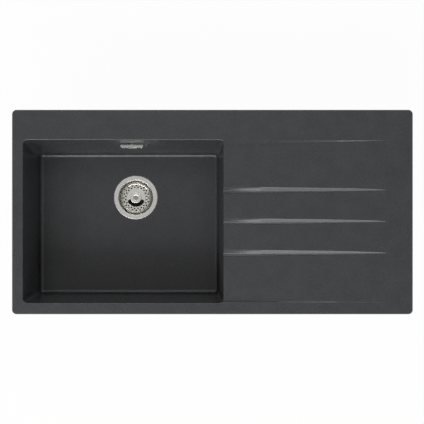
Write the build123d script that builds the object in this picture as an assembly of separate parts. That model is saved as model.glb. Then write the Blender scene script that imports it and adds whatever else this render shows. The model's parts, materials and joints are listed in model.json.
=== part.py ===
from build123d import *
from math import atan, atan2, cos, degrees, pi, sin
import os

os.makedirs("parts", exist_ok=True)

# Inset kitchen sink with one bowl and a drainboard. X runs right, Y back, Z up, in mm.
# The origin is the middle of the deck in plan, on the underside of the rim, where it rests on the worktop.

# ---- deck ----
deck_length = 1000.0
deck_width = 510.0
deck_corner_radius = 11.0
rim_thickness = 9.0
deck_edge_bevel = 2.2

# ---- bowl ----
bowl_length = 501.0
bowl_width = 406.5
bowl_left_margin = 27.5
bowl_front_margin = 28.0
bowl_depth = 200.0
bowl_corner = 11.0
bowl_end_draft = 13.0
bowl_side_draft = 17.5
bowl_rim_fillet = 3.0
bowl_wall = 8.0
bowl_floor_thickness = 9.0

# ---- drainboard ----
board_length = 409.5
board_drop = 8.0
board_step_width = 9.0
board_under_drop = 13.0
groove_count = 3
groove_pitch = 78.5
groove_width = 17.0
groove_depth = 5.0
groove_front_share = 0.29
groove_tip_margin = 5.0

# ---- underside of the moulding ----
cutout_margin = 10.0
edge_rib_inset = 14.0
edge_rib_thickness = 5.0
edge_rib_height = 12.0
cross_rib_thickness = 5.0
cross_rib_bottom = -18.0
tap_hole_diameter = 35.0
tap_hole_skin = 3.5
tap_hole_spacing = 100.0
tap_hole_offset = 8.5
seal_groove_inset = 3.0
seal_width = 6.0
seal_thickness = 1.5

# ---- fixing clips ----
clip_end_distance = 240.0
clip_back_distance = 160.0
clip_edge_inset = 16.0
clip_boss_width = 11.0
clip_boss_height = 18.0
clip_screw_radius = 2.5
clip_insert_radius = 3.8
clip_insert_length = 12.0
clip_pocket_depth = 23.0
clip_screw_reach = 43.0
clip_thread_grip = 7.0
clip_travel = 14.0
clip_head_radius = 4.6
clip_head_height = 4.0
bush_radius = 6.0
bush_height = 2.5
jaw_width = 11.0
jaw_length = 34.0
jaw_thickness = 2.0
jaw_lip = 8.0
running_clearance = 0.05

# ---- waste ----
drain_offset = 17.5
drain_from_back = 133.5
drain_hole_radius = 45.5
flange_seat_radius = 58.2
flange_radius = 57.4
steel_sheet = 1.0
cup_radius = 43.0
cup_depth = 38.0
cup_slots = 6
cup_slot_inner = 13.0
cup_slot_outer = 30.0
cup_slot_width = 7.0
body_seal_thickness = 2.0
waste_inner_radius = 48.5
waste_wall = 3.0
waste_flange_radius = 57.0
waste_flange_thickness = 4.0
waste_depth = 60.0
outlet_radius = 23.9
outlet_bore = 20.5
outlet_length = 34.0
hub_width = 14.0
hub_depth = 20.0
hub_rib = 3.0
fixing_screw_radius = 3.0
fixing_screw_length = 22.0
fixing_head_radius = 7.0
fixing_head_height = 6.0

# ---- strainer basket ----
basket_sheet = 0.8
basket_radius = 42.5
basket_top_drop = 5.5
basket_floor_drop = 25.0
basket_holes = 20
basket_hole_radius = 2.0
basket_inner_row = 28.8
basket_outer_row = 34.2
basket_rim_width = 2.2
hat_radius = 26.2
hat_rise = 11.0
dish_radius = 14.2
dish_depth = 5.2
stem_radius = 3.0
stopper_radius = 35.0
stopper_thickness = 2.5
knob_radius = 14.7
knob_height = 4.5
knob_drop = 6.0
knob_dimple_radius = 6.9
knob_dimple_depth = 1.6

# ---- overflow ----
overflow_drop = 55.0
overflow_slot_length = 46.0
overflow_slot_height = 9.0
cover_length = 58.0
cover_height = 15.0
cover_standoff = 8.0
cover_corner = 4.0
housing_plate_length = 66.0
housing_plate_height = 26.0
housing_plate = 3.0
housing_length = 40.0
housing_wall = 2.5
gasket_thickness = 2.0
overflow_screw_radius = 2.5
duct_length = 37.0
duct_height = 23.0
duct_wall = 2.0
duct_gap = 5.0
duct_bevel = 26.0
sleeve_wall = 1.5
spigot_wall = 2.0
spigot_length = 14.0
shoulder_length = 6.0
overflow_inlet_drop = 30.0

# ---- positions worked out from the dimensions above ----
top = rim_thickness
bowl_x = -deck_length / 2 + bowl_left_margin + bowl_length / 2
bowl_y = -deck_width / 2 + bowl_front_margin + bowl_width / 2
bowl_right = bowl_x + bowl_length / 2
bowl_back = bowl_y + bowl_width / 2
bowl_front = bowl_y - bowl_width / 2
floor_top = top - bowl_depth
floor_bottom = floor_top - bowl_floor_thickness
seat_z = floor_top - steel_sheet
board_tip = bowl_right + board_length
drain_x = bowl_x + drain_offset
drain_y = bowl_back - drain_from_back
side_slope = atan(bowl_side_draft / bowl_depth)


def save(shape, name):
    export_step(shape, "parts/" + name + ".step")


def disc(radius, low, high, x=0.0, y=0.0):
    return Pos(x, y, low) * extrude(Circle(radius), high - low)


def ring(outer, inner, low, high, x=0.0, y=0.0):
    return disc(outer, low, high, x, y) - disc(inner, low - 1, high + 1, x, y)


def hexagon(radius, low, high, x=0.0, y=0.0):
    return Pos(x, y, low) * extrude(RegularPolygon(radius, 6), high - low)


def cut_corners(length, width, cut):
    shape = Rectangle(length, width)
    return chamfer(shape.vertices(), cut)


def block(x0, x1, y0, y1, z0, z1):
    size = Box(x1 - x0, y1 - y0, z1 - z0)
    return Pos((x0 + x1) / 2, (y0 + y1) / 2, (z0 + z1) / 2) * size


def turned(points):
    """A solid of revolution about Z from (radius, height) points."""
    return revolve(Plane.XZ * make_face(Polyline(*points, close=True)), Axis.Z)


def pressed(points, thickness):
    """A pressed sheet turned about Z: (radius, height) points of its upper face, from the rim inwards."""
    under = []
    for i, (x, z) in enumerate(points):
        before = points[max(i - 1, 0)]
        after = points[min(i + 1, len(points) - 1)]
        turns = []
        for a, b in ((before, (x, z)), ((x, z), after)):
            if a != b:
                turns.append(atan2(b[1] - a[1], b[0] - a[0]))
        middle = (turns[0] + turns[-1]) / 2
        reach = thickness / cos((turns[0] - turns[-1]) / 2)
        under.append((x - reach * sin(middle), z + reach * cos(middle)))
    return turned(points + under[::-1])


def frustum(low, high, length, width, inset_x, inset_y):
    """The bowl's form: length by width at high, each side drawn in by its inset at low."""
    tall = high - low
    shape = Rot(-90, 0, 0) * Wedge(length, tall, width, inset_x, inset_y, length - inset_x, width - inset_y)
    return Pos(bowl_x, bowl_y, (low + high) / 2) * shape


def all_but_top(shape):
    height = shape.bounding_box().max.Z
    return [e for e in shape.edges() if e.bounding_box().min.Z < height - 1.0]


def edges_at(shape, height):
    return [e for e in shape.edges() if abs(e.bounding_box().max.Z - height) < 1e-4
            and abs(e.bounding_box().min.Z - height) < 1e-4]


# ---- moulding ----
def bowl_cutter():
    above = 2.0 * bowl_rim_fillet
    grow = above / bowl_depth
    shape = frustum(
        floor_top, top + above,
        bowl_length + 2 * bowl_end_draft * grow, bowl_width + 2 * bowl_side_draft * grow,
        bowl_end_draft * (1 + grow), bowl_side_draft * (1 + grow))
    return fillet(all_but_top(shape), bowl_corner)


def bowl_outside():
    low, high = floor_bottom, top / 2
    below = (top - high) / bowl_depth
    share = (high - low) / bowl_depth
    shape = frustum(
        low, high,
        bowl_length + 2 * (bowl_wall - bowl_end_draft * below),
        bowl_width + 2 * (bowl_wall - bowl_side_draft * below),
        bowl_end_draft * share, bowl_side_draft * share)
    return chamfer(all_but_top(shape), 0.8 * bowl_corner)


def board_level(x):
    return top - board_drop * (board_tip - x) / board_length


def across(x, y, z, points):
    """A face in a plane across the drainboard at x, from (y, z) points about the given centre."""
    plane = Plane(origin=(x, y, z), x_dir=(0, 1, 0), z_dir=(1, 0, 0))
    return (plane * make_face(Polyline(*points, close=True))).face()


def step_section(x, width, drop):
    """Section of the drainboard recess at x: flat floor with a rounded step at front and back."""
    rise = 5.0
    half = bowl_width / 2
    curve = ((0.0, 0.0), (0.22, 0.05), (0.42, 0.3), (0.62, 0.72), (0.8, 0.95), (1.0, 1.0))
    back = [(half - width * u, -drop * v) for u, v in curve]
    front = [(-y, z) for y, z in reversed(back)]
    return across(x, bowl_y, top, [(half, rise)] + back + front + [(-half, rise)])


def board_cutter():
    start = bowl_right - bowl_corner - 1.0
    sections = []
    for share in (0.0, 0.35, 0.7, 0.9, 1.0):
        x = start + (board_tip - start) * share
        drop = max(top - board_level(x), 0.05)
        left = max(1.0 - share, 0.004)
        sections.append(step_section(x, board_step_width * left ** 0.5, drop))
    return loft(sections, ruled=True)


def groove_section(x, y, share, width, depth):
    """Section of one groove: a long slope, stepped beside the bowl, down to a steep front wall."""
    stepped = max(1.0 - 4.0 * share, 0.0)
    upper = (0.34 - 0.20 * (1.0 - stepped), 0.16 + 0.06 * (1.0 - stepped))
    lower = (0.46 + 0.10 * (1.0 - stepped), 0.80 - 0.06 * (1.0 - stepped))
    back, front = width / 2, -width / 2
    root = front + groove_front_share * width
    return across(x, y, board_level(x), [
        (back, 12.0), (back, 0), (back - upper[0] * width, -upper[1] * depth),
        (back - lower[0] * width, -lower[1] * depth), (root, -depth),
        (front + 0.08 * width, -0.45 * depth), (front, 0), (front, 12.0)])


def groove_cutter(y):
    start = bowl_right - bowl_corner
    tip = board_tip - groove_tip_margin
    sections = []
    for share in (0.0, 0.25, 0.6, 0.8, 0.93, 1.0):
        x = start + (tip - start) * share
        left = max(1.0 - share, 0.004) ** 0.45
        sections.append(groove_section(x, y, share, groove_width * left, groove_depth * left))
    return loft(sections, ruled=True)


def clip_spots():
    """Axis position and turn of each clip; the outward side of an unturned clip is the front."""
    y = deck_width / 2 - clip_edge_inset
    inner = deck_length / 2 - clip_end_distance
    outer = deck_length / 2 - clip_back_distance
    return [(-inner, -y, 0.0), (inner, -y, 0.0), (-outer, y, 180.0), (inner, y, 180.0)]


def wall_frame():
    """Frame on the bowl's back wall at the overflow: y out through the wall, z up along it."""
    y = bowl_back - bowl_side_draft * overflow_drop / bowl_depth
    return Pos(drain_x, y, top - overflow_drop) * Rot(-degrees(side_slope), 0, 0)


wall_depth = bowl_wall * cos(side_slope)


def sink_body():
    body = extrude(RectangleRounded(deck_length, deck_width, deck_corner_radius), rim_thickness)
    body = chamfer(edges_at(body, top), deck_edge_bevel)
    body += bowl_outside()
    # drainboard wedge below the deck
    wedge_end = board_tip + 12.0
    profile = Polyline((bowl_right - 6.0, top / 2), (wedge_end, top / 2), (wedge_end, 0.0),
                       (bowl_right - 6.0, -board_under_drop), close=True)
    wedge = extrude(Plane.XZ * make_face(profile), amount=bowl_width + 16.0)
    wedge = Pos(0, bowl_back + 8.0, 0) * wedge
    body += wedge
    # edge rib that drops into the worktop cut-out
    rib_length = deck_length - 2 * edge_rib_inset
    rib_width = deck_width - 2 * edge_rib_inset
    rib = cut_corners(rib_length, rib_width, 12.0)
    rib -= cut_corners(rib_length - 2 * edge_rib_thickness, rib_width - 2 * edge_rib_thickness, 9.0)
    body += Pos(0, 0, -edge_rib_height) * extrude(rib, edge_rib_height + 1.0)
    # ribs under the drainboard
    half = cross_rib_thickness / 2
    rib_right = deck_length / 2 - edge_rib_inset - 1.0
    for i in range(groove_count):
        y = bowl_y + (i - (groove_count - 1) / 2) * groove_pitch
        body += block(bowl_right + bowl_wall / 2, rib_right, y - half, y + half, cross_rib_bottom, 1.0)
    x = bowl_right + board_length / 2
    rib_y = deck_width / 2 - edge_rib_inset - 1.0
    body += block(x - half, x + half, -rib_y, rib_y, cross_rib_bottom + 4.0, 1.0)
    half = clip_boss_width / 2
    for x, y, turn in clip_spots():
        body += block(x - half, x + half, y - half, y + half, -clip_boss_height, 1.0)
    # bowl, then the rounded rim round it
    body -= bowl_cutter()
    rim = [e for e in edges_at(body, top) if e.bounding_box().min.X > bowl_x - bowl_length / 2 - 1
           and e.bounding_box().max.X < bowl_right + 1 and abs(e.center().Y) < deck_width / 2 - 10]
    body = fillet(rim, bowl_rim_fillet)
    # drainboard recess and its lip over the bowl
    body -= board_cutter()
    for i in range(groove_count):
        body -= groove_cutter(bowl_y + (i - (groove_count - 1) / 2) * groove_pitch)
    # waste hole and flange seat
    body -= disc(drain_hole_radius, floor_bottom - 5, floor_top + 5, drain_x, drain_y)
    body -= disc(flange_seat_radius, seat_z, floor_top + 5, drain_x, drain_y)
    # overflow slot through the back wall
    slot = Plane.XZ * SlotOverall(overflow_slot_length, overflow_slot_height)
    body -= wall_frame() * (Pos(0, -5, 0) * extrude(slot, amount=-(wall_depth + 12)))
    # groove for the foam strip
    body -= seal_shape(seal_groove_inset, seal_width, -1.0, seal_thickness)
    # blind tap-hole knock-outs under the ledge
    for side in (-0.5, 0.5):
        tap_x = bowl_right - tap_hole_offset + side * tap_hole_spacing
        body -= disc(tap_hole_diameter / 2, -5.0, top - tap_hole_skin, tap_x, tap_y)
    for x, y, turn in clip_spots():
        body -= hexagon(clip_insert_radius, -clip_boss_height - 1,
                        -clip_boss_height + clip_pocket_depth, x, y)
    return body


tap_y = (bowl_back + deck_width / 2) / 2


def seal_shape(inset, width, low, high):
    outer = cut_corners(deck_length - 2 * inset, deck_width - 2 * inset, deck_corner_radius - inset)
    inner_inset = inset + width
    inner = cut_corners(deck_length - 2 * inner_inset, deck_width - 2 * inner_inset, 4.0)
    return Pos(0, 0, low) * extrude(outer - inner, high - low)


save(sink_body(), "sink_body")


# ---- seals and inserts of the moulding ----
save(seal_shape(seal_groove_inset, seal_width, 0.0, seal_thickness), "rim_seal")


def clip_inserts():
    low = -clip_boss_height
    high = low + clip_insert_length
    bore = clip_screw_radius + running_clearance
    insert = hexagon(clip_insert_radius, low, high) - disc(bore, low - 1, high + 1)
    return Compound([(Pos(x, y, 0) * insert).solid() for x, y, turn in clip_spots()])


save(clip_inserts(), "clip_inserts")


# ---- fixing clips ----
def clip_parts():
    """Bush, screw and jaw of one clip on the Z axis, the jaw folded along +X; it swings out towards -Y."""
    tip = -clip_boss_height + clip_thread_grip
    seat = tip - clip_screw_reach
    shelf = seat + bush_height
    half = jaw_width / 2
    screw = disc(clip_screw_radius, seat, tip)
    head = hexagon(clip_head_radius, seat - clip_head_height, seat)
    bore = clip_screw_radius + running_clearance
    bush = Pos(0, 0, seat) * extrude(RegularPolygon(bush_radius, 8) - Circle(bore), bush_height)
    bar = Pos((jaw_length - half) / 2, 0) * cut_corners(jaw_length + half, jaw_width, half * 0.5)
    jaw = Pos(0, 0, shelf) * extrude(bar - Rectangle(2 * bore, 2 * bore), jaw_thickness)
    lip = block(jaw_length - jaw_thickness, jaw_length, -half * 0.5, half * 0.5, shelf, shelf + jaw_lip)
    bite = Pos(jaw_length, 0, shelf + jaw_lip) * Rot(45, 0, 0) * Box(5 * jaw_thickness, 1.6, 1.6)
    return bush, screw + head, jaw + (lip - bite)


bush, screw, jaw = clip_parts()
for number, (x, y, turn) in enumerate(clip_spots(), 1):
    place = Pos(x, y, 0) * Rot(0, 0, turn)
    save(place * bush, f"clip_bush_{number}")
    save(place * screw, f"clip_screw_{number}")
    save(place * jaw, f"clip_jaw_{number}")

# ---- waste ----
plate_top = seat_z + steel_sheet
cup_top = plate_top - cup_depth
cup_bottom = cup_top - steel_sheet
at_drain = Pos(drain_x, drain_y, 0)


def waste_flange():
    cup = pressed([(flange_radius, plate_top), (cup_radius, plate_top), (cup_radius, cup_top),
                   (fixing_screw_radius + 0.2, cup_top)], steel_sheet)
    length = cup_slot_outer - cup_slot_inner
    slot = cut_corners(length, cup_slot_width, cup_slot_width * 0.3)
    slot = Pos((cup_slot_inner + cup_slot_outer) / 2, 0) * slot
    for i in range(cup_slots):
        cup -= Rot(0, 0, 360 / cup_slots * i) * Pos(0, 0, cup_bottom - 2) * extrude(slot, 6.0)
    return cup


save(at_drain * waste_flange(), "waste_flange")

body_seal_low = floor_bottom - body_seal_thickness
body_seal = ring(waste_flange_radius, waste_inner_radius, body_seal_low, floor_bottom)
save(at_drain * body_seal, "body_seal")

waste_radius = waste_inner_radius + waste_wall
cup_floor = body_seal_low - waste_depth
outlet_low = cup_floor - outlet_length
hub_top = cup_bottom - 0.3
inlet_z = floor_bottom - overflow_inlet_drop


def tube(outer, inner, start, end):
    """Oblong tube along Z, its outside and bore given as (length, height)."""
    return Pos(0, 0, start) * extrude(Rectangle(*outer) - Rectangle(*inner), end - start)


duct_outside = (duct_length, duct_height)
duct_bore = (duct_length - 2 * duct_wall, duct_height - 2 * duct_wall)
spigot_outside = (duct_bore[0] - 2 * sleeve_wall, duct_bore[1] - 2 * sleeve_wall)
spigot_bore = (spigot_outside[0] - 2 * spigot_wall, spigot_outside[1] - 2 * spigot_wall)


def spigot(start):
    """Shoulder as wide as the duct, from start up to Z=0, and above it the spigot that enters the duct."""
    shoulder = tube(duct_outside, spigot_bore, start, 0.0)
    return shoulder + tube(spigot_outside, spigot_bore, -1.0, spigot_length)


def waste_body():
    flange_low = body_seal_low - waste_flange_thickness
    outer = turned([(0, body_seal_low), (waste_flange_radius, body_seal_low),
                    (waste_flange_radius, flange_low), (waste_radius, flange_low),
                    (waste_radius, cup_floor), (outlet_radius, cup_floor),
                    (outlet_radius, outlet_low), (0, outlet_low)])
    inner = turned([(0, body_seal_low + 1), (waste_inner_radius, body_seal_low + 1),
                    (waste_inner_radius, cup_floor + waste_wall), (outlet_bore, cup_floor + waste_wall),
                    (outlet_bore, outlet_low - 1), (0, outlet_low - 1)])
    inlet = Pos(0, waste_radius + shoulder_length, inlet_z) * Rot(-90, 0, 0)
    shell = outer + inlet * spigot(-shoulder_length - waste_wall) - inner
    shell -= inlet * Pos(0, 0, -waste_radius / 2) * extrude(Rectangle(*spigot_bore), waste_radius / 2)
    # hub for the fixing screw on a cross of ribs
    half = hub_width / 2
    hub = block(-half, half, -half, half, hub_top - hub_depth, hub_top)
    half = hub_rib / 2
    reach = waste_inner_radius + waste_wall / 2
    hub += block(-reach, reach, -half, half, hub_top - hub_depth, hub_top)
    hub += block(-half, half, -reach, reach, hub_top - hub_depth, hub_top) & inner
    hub -= disc(fixing_screw_radius + running_clearance, hub_top - hub_depth - 1, hub_top + 1)
    return shell + hub


save(at_drain * waste_body(), "waste_body")


def fixing_screw():
    head_high = cup_top + fixing_head_height
    screw = disc(fixing_head_radius, cup_top, head_high)
    screw += disc(fixing_screw_radius, cup_top - fixing_screw_length, cup_top)
    reach = fixing_head_radius + 1.0
    return screw - block(-reach, reach, -0.8, 0.8, head_high - 2.0, head_high + 1)


save(at_drain * fixing_screw(), "fixing_screw")

# ---- strainer basket ----
basket_top = floor_top - basket_top_drop
basket_floor = floor_top - basket_floor_drop
plate_z = basket_floor + hat_rise - dish_depth
knob_top = floor_top - knob_drop
head_top = cup_top + fixing_head_height


def basket_shape():
    hat_top = basket_floor + hat_rise
    wall_radius = basket_radius - basket_rim_width
    shape = pressed([(basket_radius, basket_top), (wall_radius, basket_top), (wall_radius, basket_floor),
                     (hat_radius, basket_floor), (hat_radius, hat_top), (dish_radius, plate_z),
                     (0.6 * stem_radius, plate_z)], basket_sheet)
    shape += disc(stem_radius, plate_z - basket_sheet, plate_z)
    hole = Pos(0, 0, basket_floor - 3) * extrude(RegularPolygon(basket_hole_radius, 6), 6.0)
    for row, phase in ((basket_inner_row, 0.5), (basket_outer_row, 0.0)):
        for i in range(basket_holes):
            shape -= Rot(0, 0, 360 / basket_holes * (i + phase) + 90) * Pos(row, 0, 0) * hole
    return shape - disc(stem_radius, plate_z - 5, plate_z + 5)


save(at_drain * basket_shape(), "basket")

web_low = head_top + 1.8
web_high = web_low + 2.0


def knob_shape():
    """Knob and its stem, turned in one."""
    cap_low = knob_top - knob_height
    return turned([(0, head_top + 0.5), (stem_radius, head_top + 0.5), (stem_radius, plate_z), (6.2, plate_z),
                   (6.2, cap_low), (knob_radius, cap_low), (knob_radius, knob_top - 0.7),
                   (knob_radius - 0.7, knob_top), (knob_dimple_radius, knob_top),
                   (knob_dimple_radius, knob_top - knob_dimple_depth), (0, knob_top - knob_dimple_depth)])


save(at_drain * knob_shape(), "basket_knob")

nut_high = plate_z - basket_sheet
nut = hexagon(5.5, nut_high - 3.0, nut_high) - disc(stem_radius, nut_high - 5, nut_high + 1)
save(at_drain * nut, "basket_nut")


def stopper_shape():
    """Rubber stopper on the stem: a ring on the cup's floor and a hat over the fixing screw's head."""
    dome = fixing_head_radius + 1.6
    outer = disc(stopper_radius, cup_top, cup_top + stopper_thickness) + disc(dome + 1.6, cup_top, web_high)
    return outer - disc(dome, cup_top - 1, web_low) - disc(stem_radius, web_low - 1, web_high + 1)


save(at_drain * stopper_shape(), "basket_stopper")

# ---- overflow ----
wall = wall_frame()
plate_y = wall_depth + gasket_thickness
axis_y = plate_y + duct_gap + duct_height / 2
housing_back = axis_y + duct_height / 2
housing_low = -housing_plate_height / 2


def cover_shape():
    """Steel cover on the bowl side: rounded block, hollow, open below, with a threaded boss on its back."""
    outline = RectangleRounded(cover_length, cover_standoff * 2, cover_corner)
    outer = Pos(0, 0, -cover_height / 2) * extrude(outline, cover_height)
    outer = chamfer(edges_at(outer, cover_height / 2), 1.2)
    outer -= block(-cover_length, cover_length, 0, cover_length, -cover_height, cover_height)
    inside = Rectangle(cover_length - 3.6, (cover_standoff - 1.6) * 2)
    outer -= Pos(0, 0, -cover_height) * extrude(inside, 1.5 * cover_height - 1.6)
    boss = Rot(-90, 0, 0) * hexagon(4.6, -cover_standoff + 1.0, wall_depth + 1.0)
    bore = overflow_screw_radius + running_clearance
    boss -= Rot(-90, 0, 0) * disc(bore, -cover_standoff + 3.0, wall_depth + 5)
    return outer + boss


save(wall * cover_shape(), "overflow_cover")


def wall_plate(length, height, y0, y1, cut=7.0):
    return Pos(0, y0, 0) * extrude(Plane.XZ * cut_corners(length, height, cut), amount=-(y1 - y0))


gasket = wall_plate(housing_plate_length, housing_plate_height, wall_depth, plate_y)
gasket -= wall_plate(overflow_slot_length, overflow_slot_height + 2.0, 0.0, plate_y + 1, 3.0)
save(wall * gasket, "overflow_gasket")

mouth = Pos(0, axis_y, housing_low - shoulder_length) * Rot(180, 0, 0)


def housing_shape():
    """Moulded box behind the wall that takes the water down to the duct."""
    plate_back = plate_y + housing_plate
    shell = wall_plate(housing_plate_length, housing_plate_height, plate_y, plate_back)
    half = housing_length / 2
    box = block(-half, half, plate_y + 1.0, housing_back, housing_low, -housing_low)
    rear = [e for e in box.edges() if e.center().Y > housing_back - 1 and e.center().Z > housing_low + 1]
    shell += chamfer(rear, 4.0)
    inner = housing_wall
    low = housing_low + inner
    shell -= block(-half + inner, half - inner, plate_back, housing_back - inner, low, -low)
    shell -= wall_plate(housing_length - 2 * inner, overflow_slot_height + 1.0,
                        plate_y - 1, plate_back + 1, 1.0)
    shell += mouth * spigot(-shoulder_length)
    shell -= mouth * Pos(0, 0, -shoulder_length - 4) * extrude(Rectangle(*spigot_bore), 10.0)
    return shell - Rot(-90, 0, 0) * disc(overflow_screw_radius + 0.3, wall_depth, housing_back + 5)


save(wall * housing_shape(), "overflow_housing")


def overflow_screw():
    screw = disc(overflow_screw_radius, -cover_standoff + 4.0, housing_back)
    head = hexagon(overflow_screw_radius + 2.2, housing_back, housing_back + 3.2)
    return Rot(-90, 0, 0) * (screw + head)


save(wall * overflow_screw(), "overflow_screw")


# ---- overflow duct and its rubber sleeves ----
upper_face = wall * mouth
lower_face = Pos(drain_x, drain_y + waste_radius + shoulder_length, inlet_z) * Rot(-90, 0, 0)


def duct_shape():
    """Oblong duct down the bowl's back and under its floor, its bend cut off by a short slanted length."""
    start = upper_face.position
    end = lower_face.position
    down = Vector(0, -sin(side_slope), -cos(side_slope))
    corner = start + down * ((start.Z - end.Z) / cos(side_slope))
    path = Polyline(start, corner - down * duct_bevel, corner - Vector(0, duct_bevel, 0), end)
    frame = Plane(origin=start, x_dir=(1, 0, 0), z_dir=down)
    section = frame * (Rectangle(*duct_outside) - Rectangle(*duct_bore))
    return sweep(section, path=path, transition=Transition.RIGHT)


save(duct_shape(), "overflow_duct")

sleeve = tube(duct_bore, spigot_outside, 0.0, spigot_length)
save(Compound([(face * sleeve).solid() for face in (upper_face, lower_face)]), "duct_sleeves")
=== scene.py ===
import json
from math import cos, pi, radians, sin

import bmesh
import bpy
from mathutils import Matrix, Vector


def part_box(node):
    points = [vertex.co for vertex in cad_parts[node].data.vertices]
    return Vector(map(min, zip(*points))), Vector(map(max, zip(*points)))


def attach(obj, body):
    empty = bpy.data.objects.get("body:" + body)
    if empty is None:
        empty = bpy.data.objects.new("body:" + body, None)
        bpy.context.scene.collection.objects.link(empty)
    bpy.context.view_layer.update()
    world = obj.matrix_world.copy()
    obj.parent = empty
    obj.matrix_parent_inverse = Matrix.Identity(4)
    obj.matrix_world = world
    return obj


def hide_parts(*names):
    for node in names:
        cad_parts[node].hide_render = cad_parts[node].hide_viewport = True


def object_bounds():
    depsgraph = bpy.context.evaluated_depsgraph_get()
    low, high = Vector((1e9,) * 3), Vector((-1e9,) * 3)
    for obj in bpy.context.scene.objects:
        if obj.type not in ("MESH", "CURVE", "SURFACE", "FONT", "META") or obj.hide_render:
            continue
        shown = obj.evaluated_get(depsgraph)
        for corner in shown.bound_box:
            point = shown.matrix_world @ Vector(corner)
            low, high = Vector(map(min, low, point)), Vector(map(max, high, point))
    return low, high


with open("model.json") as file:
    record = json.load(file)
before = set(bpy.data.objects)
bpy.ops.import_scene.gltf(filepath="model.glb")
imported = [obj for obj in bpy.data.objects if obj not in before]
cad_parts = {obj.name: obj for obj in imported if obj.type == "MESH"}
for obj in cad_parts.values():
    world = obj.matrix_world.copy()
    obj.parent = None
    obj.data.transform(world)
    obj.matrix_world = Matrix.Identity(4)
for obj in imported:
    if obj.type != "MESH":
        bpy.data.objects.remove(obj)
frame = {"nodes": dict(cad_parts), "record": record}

cad_box = [list(corner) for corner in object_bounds()]
scene = bpy.context.scene
slots = {entry["node"]: entry["material_slot"] for entry in frame["record"]["subparts"]}


# ---- node helpers ----
GRAIN_LOW, GRAIN_HIGH = 0.3, 0.7        # the band that most of a grain's values lie in
SHADE, SHINE = 0.94, 1.05               # how far a metal's grain darkens and lightens its colour
BROAD = 0.2                             # a moulding's gloss changes this much more slowly than its grain


def new_material(name):
    """A new material, with its node tree and its surface shader."""
    material = bpy.data.materials.new(name)
    material.use_nodes = True
    tree = material.node_tree
    return material, tree, tree.nodes["Principled BSDF"]


def add(tree, kind, **values):
    """A node of one kind, with its plain properties set."""
    node = tree.nodes.new(kind)
    for key, value in values.items():
        setattr(node, key, value)
    return node


def grey(value):
    return value, value, value


def coords(tree):
    """The place on the piece, in metres."""
    return add(tree, "ShaderNodeTexCoord").outputs["Object"]


def noise(tree, vector, scale, detail=3.0):
    """A cloudy grain, with its fineness per metre."""
    node = add(tree, "ShaderNodeTexNoise")
    node.inputs["Scale"].default_value = scale
    node.inputs["Detail"].default_value = detail
    tree.links.new(vector, node.inputs["Vector"])
    return node.outputs["Fac"]


def ramp(tree, factor, stops):
    """Colour that passes through the (factor, colour) stops."""
    node = add(tree, "ShaderNodeValToRGB")
    elements = node.color_ramp.elements
    elements[0].position, elements[0].color = stops[0][0], (*stops[0][1], 1.0)
    elements[1].position, elements[1].color = stops[-1][0], (*stops[-1][1], 1.0)
    for place, colour in stops[1:-1]:
        elements.new(place).color = (*colour, 1.0)
    tree.links.new(factor, node.inputs["Fac"])
    return node.outputs["Color"]


def tones(tree, grain, dark, light):
    """Colour that goes from dark to light with the grain."""
    return ramp(tree, grain, [(GRAIN_LOW, dark), (GRAIN_HIGH, light)])


def spread(tree, grain, low, high):
    """Number that goes from low to high with the grain."""
    node = add(tree, "ShaderNodeMapRange")
    node.inputs["From Min"].default_value = GRAIN_LOW
    node.inputs["From Max"].default_value = GRAIN_HIGH
    node.inputs["To Min"].default_value = low
    node.inputs["To Max"].default_value = high
    tree.links.new(grain, node.inputs["Value"])
    return node.outputs["Result"]


def bump(tree, shader, height, distance, strength=1.0):
    """Surface relief from a grain, its depth in metres."""
    node = add(tree, "ShaderNodeBump")
    node.inputs["Strength"].default_value = strength
    node.inputs["Distance"].default_value = distance
    tree.links.new(height, node.inputs["Height"])
    tree.links.new(node.outputs["Normal"], shader.inputs["Normal"])


def math_node(tree, operation, first, second):
    """Result of an operation on a socket and a second socket or number."""
    node = add(tree, "ShaderNodeMath", operation=operation)
    tree.links.new(first, node.inputs[0])
    if isinstance(second, float):
        node.inputs[1].default_value = second
    else:
        tree.links.new(second, node.inputs[1])
    return node.outputs["Value"]


def blend(tree, share, first, second):
    """Shader that goes from the first to the second as the share goes from 0 to 1."""
    node = add(tree, "ShaderNodeMixShader")
    for socket, source in zip(node.inputs, (share, first, second)):
        tree.links.new(source, socket)
    return node.outputs["Shader"]


# ---- materials ----
def composite():
    """Granite-filled composite: near-black binder with fine paler grains and a silky surface."""
    material, tree, shader = new_material("granite_composite")
    where = coords(tree)
    grains = add(tree, "ShaderNodeTexVoronoi", feature="F1")
    grains.inputs["Scale"].default_value = 1250.0
    tree.links.new(where, grains.inputs["Vector"])
    pick = add(tree, "ShaderNodeSeparateColor")
    tree.links.new(grains.outputs["Color"], pick.inputs["Color"])
    speckle = ramp(tree, pick.outputs["Red"], [
        (0.0, (0.030, 0.0312, 0.0335)), (0.45, (0.036, 0.0374, 0.0402)),
        (0.8, (0.045, 0.0465, 0.050)), (1.0, (0.078, 0.080, 0.086))])
    cloud = tones(tree, noise(tree, where, scale=26.0, detail=4.0), grey(0.9), grey(1.1))
    mix = add(tree, "ShaderNodeMix", data_type="RGBA", blend_type="MULTIPLY")
    mix.inputs["Factor"].default_value = 1.0
    tree.links.new(speckle, mix.inputs["A"])
    tree.links.new(cloud, mix.inputs["B"])
    tree.links.new(mix.outputs["Result"], shader.inputs["Base Color"])
    gloss = spread(tree, noise(tree, where, scale=420.0), low=0.25, high=0.34)
    tree.links.new(gloss, shader.inputs["Roughness"])
    relief = noise(tree, where, scale=900.0, detail=2.0)
    bump(tree, shader, relief, distance=0.00006, strength=0.6)
    return material


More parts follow.
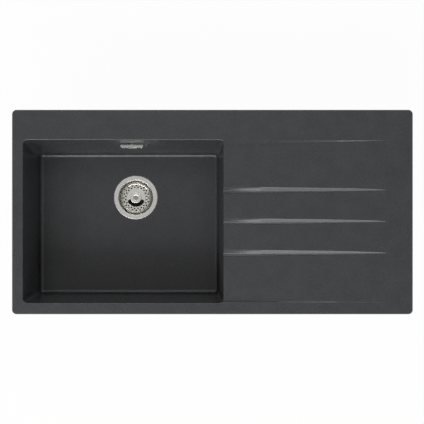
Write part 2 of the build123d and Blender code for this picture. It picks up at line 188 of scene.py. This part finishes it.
def metal(name, colour, roughness, scale=300.0, depth=0.00001):
    """Metal whose fine grain moves its colour and gloss a little."""
    material, tree, shader = new_material(name)
    grain = noise(tree, coords(tree), scale, detail=4.0)
    dark = tuple(c * SHADE for c in colour)
    light = tuple(min(c * SHINE, 1.0) for c in colour)
    tree.links.new(tones(tree, grain, dark, light), shader.inputs["Base Color"])
    tree.links.new(spread(tree, grain, *roughness), shader.inputs["Roughness"])
    shader.inputs["Metallic"].default_value = 1.0
    bump(tree, shader, grain, depth)
    return material


def moulded(name, colour, roughness, scale=600.0, depth=0.00003, contrast=0.08):
    """Plastic, rubber or foam with a fine moulded grain and a broader change of gloss."""
    material, tree, shader = new_material(name)
    where = coords(tree)
    grain = noise(tree, where, scale)
    dark = tuple(c * (1 - contrast) for c in colour)
    light = tuple(c * (1 + contrast) for c in colour)
    tree.links.new(tones(tree, grain, dark, light), shader.inputs["Base Color"])
    gloss = spread(tree, noise(tree, where, scale * BROAD), *roughness)
    tree.links.new(gloss, shader.inputs["Roughness"])
    bump(tree, shader, grain, depth)
    return material


finishes = {"granite_composite": composite()}
for name, look in {
    "foam": {"colour": (0.035, 0.035, 0.036), "roughness": (0.8, 0.95), "scale": 1500.0,
             "depth": 0.0002, "contrast": 0.3},
    "rubber": {"colour": (0.022, 0.022, 0.023), "roughness": (0.55, 0.7)},
    "dark_plastic": {"colour": (0.045, 0.045, 0.048), "roughness": (0.38, 0.5)},
    "pale_plastic": {"colour": (0.60, 0.60, 0.58), "roughness": (0.35, 0.45)},
    "nylon": {"colour": (0.72, 0.71, 0.66), "roughness": (0.4, 0.5)},
}.items():
    finishes[name] = moulded(name, **look)
for name, look in {
    "brass": {"colour": (0.72, 0.54, 0.24), "roughness": (0.22, 0.34)},
    "satin_steel": {"colour": (0.79, 0.78, 0.745), "roughness": (0.22, 0.30)},
    "polished_steel": {"colour": (0.74, 0.73, 0.71), "roughness": (0.06, 0.1), "depth": 0.000002},
    "bright_steel": {"colour": (0.95, 0.94, 0.88), "roughness": (0.13, 0.19), "scale": 500.0,
                     "depth": 0.000004},
    "cover_steel": {"colour": (0.92, 0.915, 0.895), "roughness": (0.24, 0.32), "scale": 500.0,
                    "depth": 0.000003},
    # darker, browner copy of the steel: painted shade on the basket's brim
    "warm_steel": {"colour": (0.34, 0.32, 0.285), "roughness": (0.16, 0.22)},
    # darker copy of the steel: painted shade in the knob's dimple
    "dull_steel": {"colour": (0.36, 0.355, 0.34), "roughness": (0.28, 0.36)},
    "zinc_steel": {"colour": (0.60, 0.61, 0.63), "roughness": (0.3, 0.42)},
}.items():
    finishes[name] = metal(name, **look)


def smooth_by_angle(name, limit):
    """Smooth shading with the edges sharper than the limit, in radians, kept sharp."""
    group = bpy.data.node_groups.new(name, "GeometryNodeTree")
    group.interface.new_socket("Geometry", in_out="INPUT", socket_type="NodeSocketGeometry")
    group.interface.new_socket("Geometry", in_out="OUTPUT", socket_type="NodeSocketGeometry")
    start, end = add(group, "NodeGroupInput"), add(group, "NodeGroupOutput")
    faces = add(group, "GeometryNodeSetShadeSmooth", domain="FACE")
    faces.inputs["Shade Smooth"].default_value = True
    edges = add(group, "GeometryNodeSetShadeSmooth", domain="EDGE")
    angle = add(group, "GeometryNodeInputMeshEdgeAngle")
    soft = add(group, "FunctionNodeCompare", data_type="FLOAT", operation="LESS_EQUAL")
    soft.inputs["B"].default_value = limit
    group.links.new(angle.outputs["Unsigned Angle"], soft.inputs["A"])
    group.links.new(start.outputs["Geometry"], faces.inputs["Geometry"])
    group.links.new(faces.outputs["Geometry"], edges.inputs["Geometry"])
    group.links.new(soft.outputs["Result"], edges.inputs["Shade Smooth"])
    group.links.new(edges.outputs["Geometry"], end.inputs["Geometry"])
    return group


smoothing = smooth_by_angle("smooth_by_angle", limit=0.55)
rounding = smooth_by_angle("smooth_chamfers", limit=0.95)


def shade(obj, group):
    """Smooth shading that the larger faces lead, so flat faces stay flat beside their fillets."""
    obj.modifiers.new("smooth", "NODES").node_group = group
    obj.modifiers.new("weighted", "WEIGHTED_NORMAL").keep_sharp = True


for name, obj in frame["nodes"].items():
    obj.data.materials.clear()
    obj.data.materials.append(finishes[slots[name]])
    shade(obj, rounding if name == "sink_body" else smoothing)


# ---- making pieces ----
def put(name, data, location=(0.0, 0.0, 0.0)):
    """Object made from mesh, lamp or camera data, in the scene."""
    obj = bpy.data.objects.new(name, data)
    obj.location = location
    scene.collection.objects.link(obj)
    return obj


def finished(mesh, name):
    """Mesh data of a shape whose working copy is freed."""
    data = bpy.data.meshes.new(name)
    mesh.to_mesh(data)
    mesh.free()
    return data


def dress(name, mesh, body, node, materials, location=(0.0, 0.0, 0.0)):
    """Turns the mesh into a piece that rides on the body and stands for the node."""
    obj = put(name, finished(mesh, name), location)
    for material in materials:
        obj.data.materials.append(finishes[material])
    shade(obj, smoothing)
    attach(obj, body)
    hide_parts(node)


# ---- strainer and flange, in millimetres round the drain's axis, heights from the flange's face ----
METRE = 1000              # in millimetres
MILLIMETRE = 0.001        # in metres
CLOSE = 0.001             # millimetres within which two points are one
SHARP = 1.0               # radians past which an edge counts as sharp
flange_low, flange_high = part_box("waste_flange")
drain = Vector(((flange_low[0] + flange_high[0]) / 2, (flange_low[1] + flange_high[1]) / 2, flange_high[2]))


def dress_turned(name, mesh, body, node, materials):
    """Turns a mesh in millimetres round the drain's axis into a piece."""
    bmesh.ops.remove_doubles(mesh, verts=mesh.verts, dist=CLOSE)
    bmesh.ops.recalc_face_normals(mesh, faces=mesh.faces)
    bmesh.ops.scale(mesh, vec=(MILLIMETRE, MILLIMETRE, MILLIMETRE), verts=mesh.verts)
    dress(name, mesh, body, node, materials, drain)


def rounded(corners, steps=5, most=0.49):
    """Profile through (radius, height, rounding) corners, each rounded over that length.

    A rounding takes at most the given share of the line on either side.
    """
    points = []
    for i, (r, z, size) in enumerate(corners):
        here = Vector((r, z))
        if size == 0 or i in (0, len(corners) - 1):
            points.append(here)
            continue
        before = Vector(corners[i - 1][:2]) - here
        after = Vector(corners[i + 1][:2]) - here
        a = here + before.normalized() * min(size, before.length * most)
        b = here + after.normalized() * min(size, after.length * most)
        for k in range(steps + 1):
            t = k / steps
            points.append(a * (1 - t) ** 2 + here * 2 * t * (1 - t) + b * t ** 2)
    return points


def section(line, sheet):
    """Closed section of a sheet with the line as its upper face, or its inner one where it is upright."""
    under = []
    for i, point in enumerate(line):
        ahead = line[min(i + 1, len(line) - 1)] - line[max(i - 1, 0)]
        side = Vector((ahead.y, -ahead.x)).normalized()
        facing = side.y > 0 or (side.y == 0 and side.x < 0)
        under.append(point - side * sheet if facing else point + side * sheet)
    return line + under[::-1]


def lathe(mesh, outline, steps=144):
    """Adds a closed outline of (radius, height) points turned round the axis."""
    rings = []
    for i in range(steps):
        angle = 2 * pi * i / steps
        rings.append([mesh.verts.new((r * cos(angle), r * sin(angle), z)) for r, z in outline])
    for i in range(steps):
        here, there = rings[i], rings[(i + 1) % steps]
        for k in range(len(outline)):
            n = (k + 1) % len(outline)
            mesh.faces.new((here[k], here[n], there[n], there[k]))


def pressed(mesh, sheet, *corners):
    """Adds a pressed sheet turned round the axis, with the corners as its profile."""
    lathe(mesh, section(rounded(corners), sheet))


def prism(mesh, outline, low, high):
    """Adds an upright prism on a closed outline."""
    rings = [[mesh.verts.new((x, y, z)) for x, y in outline] for z in (low, high)]
    mesh.faces.new(rings[0][::-1])
    mesh.faces.new(rings[1])
    for i in range(len(outline)):
        n = (i + 1) % len(outline)
        mesh.faces.new((rings[0][i], rings[0][n], rings[1][n], rings[1][i]))


def holder(mesh, name):
    """Object that holds a finished shape while it is cut."""
    bmesh.ops.recalc_face_normals(mesh, faces=mesh.faces)
    return put(name, finished(mesh, name))


def plate(mesh, outer, inner, cuts, high, sheet, edge=0.2):
    """Adds a flat pierced ring with softened upper edges, its upper face at the height given."""
    clearance = 1.0
    rim_margin = 0.5
    slab, knife = bmesh.new(), bmesh.new()
    lathe(slab, [(outer, high), (inner, high), (inner, high - sheet), (outer, high - sheet)])
    for outline in cuts:
        prism(knife, outline, high - sheet - clearance, high + clearance)
    body, tool = holder(slab, "plate"), holder(knife, "openings")
    cut = body.modifiers.new("pierce", "BOOLEAN")
    cut.operation, cut.solver, cut.object = "DIFFERENCE", "EXACT", tool
    flat = bpy.data.meshes.new_from_object(body.evaluated_get(bpy.context.evaluated_depsgraph_get()))
    pierced = bmesh.new()
    pierced.from_mesh(flat)
    brims = [e for e in pierced.edges if len(e.link_faces) == 2 and e.calc_face_angle() > SHARP
             and all(abs(v.co.z - high) < CLOSE for v in e.verts)
             and all(inner + rim_margin < v.co.xy.length < outer - rim_margin for v in e.verts)]
    bmesh.ops.bevel(pierced, geom=brims, offset=edge, segments=2, profile=0.5, affect="EDGES",
                    clamp_overlap=True)
    pierced.to_mesh(flat)
    pierced.free()
    mesh.from_mesh(flat)
    for obj in (body, tool):
        data = obj.data
        bpy.data.objects.remove(obj)
        bpy.data.meshes.remove(data)
    bpy.data.meshes.remove(flat)


def circle(radius, x, y, steps=24):
    """Outline of a round hole."""
    turns = [2 * pi * i / steps for i in range(steps)]
    return [(x + radius * cos(turn), y + radius * sin(turn)) for turn in turns]


def hole_row(radius, row, phase, count=20):
    """Round holes on a circle, moved on by a share of their spacing."""
    places = [radians(360 / count * (i + phase) + 90) for i in range(count)]
    return [circle(radius, row * cos(place), row * sin(place)) for place in places]


def oblong(inner, outer, width, angle):
    """Outline of a radial slot with rounded ends."""
    half = width / 2

    def tip(middle, first):
        turns = [radians(first + 15 * k) for k in range(13)]
        return [(middle + half * cos(a), half * sin(a)) for a in turns]

    turn = Matrix.Rotation(radians(angle), 2)
    return [tuple(turn @ Vector(point)) for point in tip(outer - half, -90) + tip(inner + half, 90)]


def crescent(inner, outer, start, end, steps=32):
    """Outline of an arched opening between two radii, with rounded ends."""
    angles = [radians(start + (end - start) * i / steps) for i in range(steps + 1)]
    middle, half = (inner + outer) / 2, (outer - inner) / 2

    def tip(at, first):
        turns = [radians(first + 20 * k) for k in range(1, 9)]
        return [(middle * cos(at) + half * cos(at + a), middle * sin(at) + half * sin(at + a)) for a in turns]

    points = [(outer * cos(a), outer * sin(a)) for a in angles] + tip(angles[-1], 0)
    return points + [(inner * cos(a), inner * sin(a)) for a in reversed(angles)] + tip(angles[0], 180)


CUP_SHEET, CUP_WALL, CUP_FLOOR = 0.9, 43.0, -38.0
flange = bmesh.new()
pressed(flange, CUP_SHEET,
        (57.3, -0.9, 0), (57.3, -0.05, 0.8), (52.0, 0.0, 3.0), (46.4, -0.2, 0.7), (43.4, -4.2, 1.2),
        (CUP_WALL, -7.0, 0.5), (CUP_WALL, CUP_FLOOR, 2.0), (34.0, CUP_FLOOR, 0))
cup_slots = [oblong(inner=13.0, outer=30.0, width=7.0, angle=60 * i) for i in range(6)]
plate(flange, outer=34.4, inner=3.3, cuts=cup_slots, high=CUP_FLOOR, sheet=CUP_SHEET)
dress_turned("strainer_cup", flange, "sink", "waste_flange", ["satin_steel"])

SHEET = 0.7
RIM, FLOOR, HAT, SEAT = -5.5, -25.0, -14.0, -19.2        # heights of the basket and of the knob's seat
BRIM_RADIUS = 38.1        # the basket's rolled brim lies outside this; its faces take a darker steel, painted shade
basket = bmesh.new()
pressed(basket, SHEET,
        (41.3, RIM - 2.4, 0), (41.2, RIM, 0.7), (39.9, RIM, 0.6), (38.8, RIM - 3.4, 0.8),
        (36.9, FLOOR, 1.6), (35.3, FLOOR, 0))
holes = hole_row(radius=2.2, row=28.9, phase=0.5) + hole_row(radius=2.2, row=33.3, phase=0.0)
plate(basket, outer=35.9, inner=25.6, cuts=holes, high=FLOOR, sheet=SHEET)
pressed(basket, SHEET, (25.9, FLOOR, 0), (25.7, FLOOR, 0.3), (25.3, HAT, 1.0), (24.5, HAT, 0))
finger_hole = crescent(inner=14.0, outer=24.2, start=210, end=330)
plate(basket, outer=24.8, inner=11.9, cuts=[finger_hole], high=HAT, sheet=SHEET)
pressed(basket, SHEET, (12.1, HAT, 0), (10.6, HAT, 0.8), (9.4, SEAT, 1.0), (3.05, SEAT, 0))
# faces outside the brim radius take the darker steel: painted shade on the brim and the ring round the basket
for face in basket.faces:
    face.material_index = int(min(v.co.xy.length for v in face.verts) > BRIM_RADIUS)
dress_turned("strainer_basket", basket, "strainer", "basket", ["bright_steel", "warm_steel"])

AXIS = 0.02               # radius at which the knob's profile starts and ends
DIMPLE_RADIUS, DIMPLE_FLOOR = 6.7, -7.0        # the knob's dimple lies inside the one and above the other; its faces take a darker steel, painted shade
stem_foot = (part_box("basket_knob")[0][2] - drain.z) * METRE
knob = bmesh.new()
lathe(knob, rounded([
    (AXIS, stem_foot, 0), (3.0, stem_foot, 0.5), (3.0, SEAT, 0), (6.2, SEAT, 0.3), (6.2, -10.6, 1.2),
    (13.6, -10.4, 0.8), (14.7, -8.6, 1.0), (14.6, -6.3, 1.2), (7.2, -6.0, 0.6), (6.4, -6.5, 0.4),
    (AXIS, -6.9, 0)]))
# faces in the dimple take the darker steel: painted shade in the recess
for face in knob.faces:
    radius = max(v.co.xy.length for v in face.verts)
    lowest = min(v.co.z for v in face.verts)
    face.material_index = int(radius < DIMPLE_RADIUS and lowest > DIMPLE_FLOOR)
dress_turned("strainer_knob", knob, "strainer", "basket_knob", ["bright_steel", "dull_steel"])

# ---- overflow cover: the shell stands a little off the wall and has a crisper top edge ----
WALL_LEAN = radians(5.0)                # the bowl's back wall leans this far from upright
WALL_Y, COVER_Z = 0.17468, -0.046       # the wall's face behind the cover's middle
TOP_FACE, TOP_ROUNDING = 0.0073, 0.0061      # heights above the middle, along the wall
TOP_CORNER = 0.0070                          # the height that the rounding's points rise to
WIDER, DEEPER = 28.5 / 27.8, 7.5 / 6.8       # how much the top face grows
WALL_GAP, REACH = 0.0030, 0.83               # distance off the wall, and share of the solid's depth
TOLERANCE = 0.00001                          # what lies deeper than this is inside the wall
wall_up = Vector((0.0, sin(WALL_LEAN), cos(WALL_LEAN)))
wall_out = Vector((0.0, -cos(WALL_LEAN), sin(WALL_LEAN)))
cover_low, cover_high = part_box("overflow_cover")
seat = Vector(((cover_low.x + cover_high.x) / 2, WALL_Y, COVER_Z))
shell = bmesh.new()
shell.from_mesh(frame["nodes"]["overflow_cover"].data)
for vert in shell.verts:
    offset = vert.co - seat
    side, rise, depth = offset.x, offset.dot(wall_up), offset.dot(wall_out)
    if rise > TOP_FACE:
        side *= WIDER
        depth *= DEEPER
    elif rise > TOP_ROUNDING:
        rise = TOP_CORNER
    if depth > -TOLERANCE:
        depth = WALL_GAP + depth * REACH
    vert.co = seat + Vector((side, 0.0, 0.0)) + wall_up * rise + wall_out * depth
dress("overflow_shell", shell, "sink", "overflow_cover", ["cover_steel"])

# ---- stage ----
FLOOR_GAP = 0.001         # metres from the part's lowest point down to the floor
WHITE_SHARE = 0.965       # the rest of what the camera sees is the lit floor with its shadows


def backdrop_material():
    """Plain pale floor that the camera and mirror images show as nearly white, clear from below."""
    material, tree, shader = new_material("backdrop")
    tone = tones(tree, noise(tree, coords(tree), scale=3.0), grey(0.88), grey(0.90))
    tree.links.new(tone, shader.inputs["Base Color"])
    shader.inputs["Roughness"].default_value = 0.9
    glow = add(tree, "ShaderNodeEmission")
    glow.inputs["Strength"].default_value = 1.0
    path = add(tree, "ShaderNodeLightPath")
    mirrored = math_node(tree, "MAXIMUM", path.outputs["Is Glossy Ray"], path.outputs["Is Transmission Ray"])
    seen = math_node(tree, "MAXIMUM", path.outputs["Is Camera Ray"], mirrored)
    share = math_node(tree, "MULTIPLY", seen, WHITE_SHARE)
    lit = blend(tree, share, shader.outputs["BSDF"], glow.outputs["Emission"])
    clear = add(tree, "ShaderNodeBsdfTransparent")
    side = add(tree, "ShaderNodeNewGeometry")
    one_sided = blend(tree, side.outputs["Backfacing"], lit, clear.outputs["BSDF"])
    tree.links.new(one_sided, tree.nodes["Material Output"].inputs["Surface"])
    return material


half = 30.0
floor_level = cad_box[0][2] - FLOOR_GAP
floor_mesh = bpy.data.meshes.new("studio_floor")
floor_mesh.from_pydata([(-half, -half, floor_level), (half, -half, floor_level),
                        (half, half, floor_level), (-half, half, floor_level)], [], [(0, 1, 2, 3)])
floor_mesh.materials.append(backdrop_material())
studio_floor = put("studio_floor", floor_mesh)

# ---- light ----
MIRROR_SHARE = 0.56       # how much of the pale surroundings the mirror images show
world = bpy.data.worlds.new("studio")
scene.world = world
world.use_nodes = True
sky = world.node_tree
dim = sky.nodes["Background"]
dim.inputs["Color"].default_value = (1.0, 1.0, 1.0, 1.0)
dim.inputs["Strength"].default_value = 0.10
pale = add(sky, "ShaderNodeBackground")
pale.inputs["Color"].default_value = (0.8, 0.8, 0.8, 1.0)
pale.inputs["Strength"].default_value = 1.0
path = add(sky, "ShaderNodeLightPath")
mirrored = math_node(sky, "MULTIPLY", path.outputs["Is Glossy Ray"], MIRROR_SHARE)
through = math_node(sky, "MAXIMUM", path.outputs["Is Transmission Ray"], mirrored)
seen = math_node(sky, "MAXIMUM", path.outputs["Is Camera Ray"], through)
surroundings = blend(sky, seen, dim.outputs["Background"], pale.outputs["Background"])
sky.links.new(surroundings, sky.nodes["World Output"].inputs["Surface"])


def softbox(name, place, width, height, power):
    """Rectangular lamp aimed at the part's middle, unseen by the camera."""
    lamp = bpy.data.lights.new(name, "AREA")
    lamp.shape = "RECTANGLE"
    lamp.size, lamp.size_y = width, height
    lamp.energy = power
    obj = put(name, lamp, place)
    aim = Vector((0.0, 0.0, 0.0)) - Vector(place)
    obj.rotation_euler = aim.to_track_quat("-Z", "Y").to_euler()
    obj.visible_camera = False


softbox("front_softbox", (0.0, -2.1, 2.1), width=2.4, height=1.0, power=37.0)
softbox("low_front_softbox", (0.0, -2.6, 1.5), width=2.4, height=0.8, power=18.0)
softbox("front_left_softbox", (-1.6, -1.6, 2.2), width=1.6, height=1.0, power=35.0)
softbox("high_back_softbox", (0.0, 1.5, 2.9), width=2.4, height=0.8, power=10.0)
softbox("low_back_softbox", (0.0, 2.9, 1.2), width=2.8, height=0.8, power=30.0)

# ---- camera: looks straight down, a little in front of the part's middle ----
deck_top = 0.009
distance = 2.877
forward = 0.105
frame_width = 1.0575

camera = bpy.data.cameras.new("camera")
camera.sensor_width = 36.0
camera.lens = camera.sensor_width * distance / frame_width
camera.shift_y = forward / frame_width
scene.camera = put("camera", camera, (-0.001, -forward, deck_top + distance))

scene.view_settings.view_transform = "Standard"
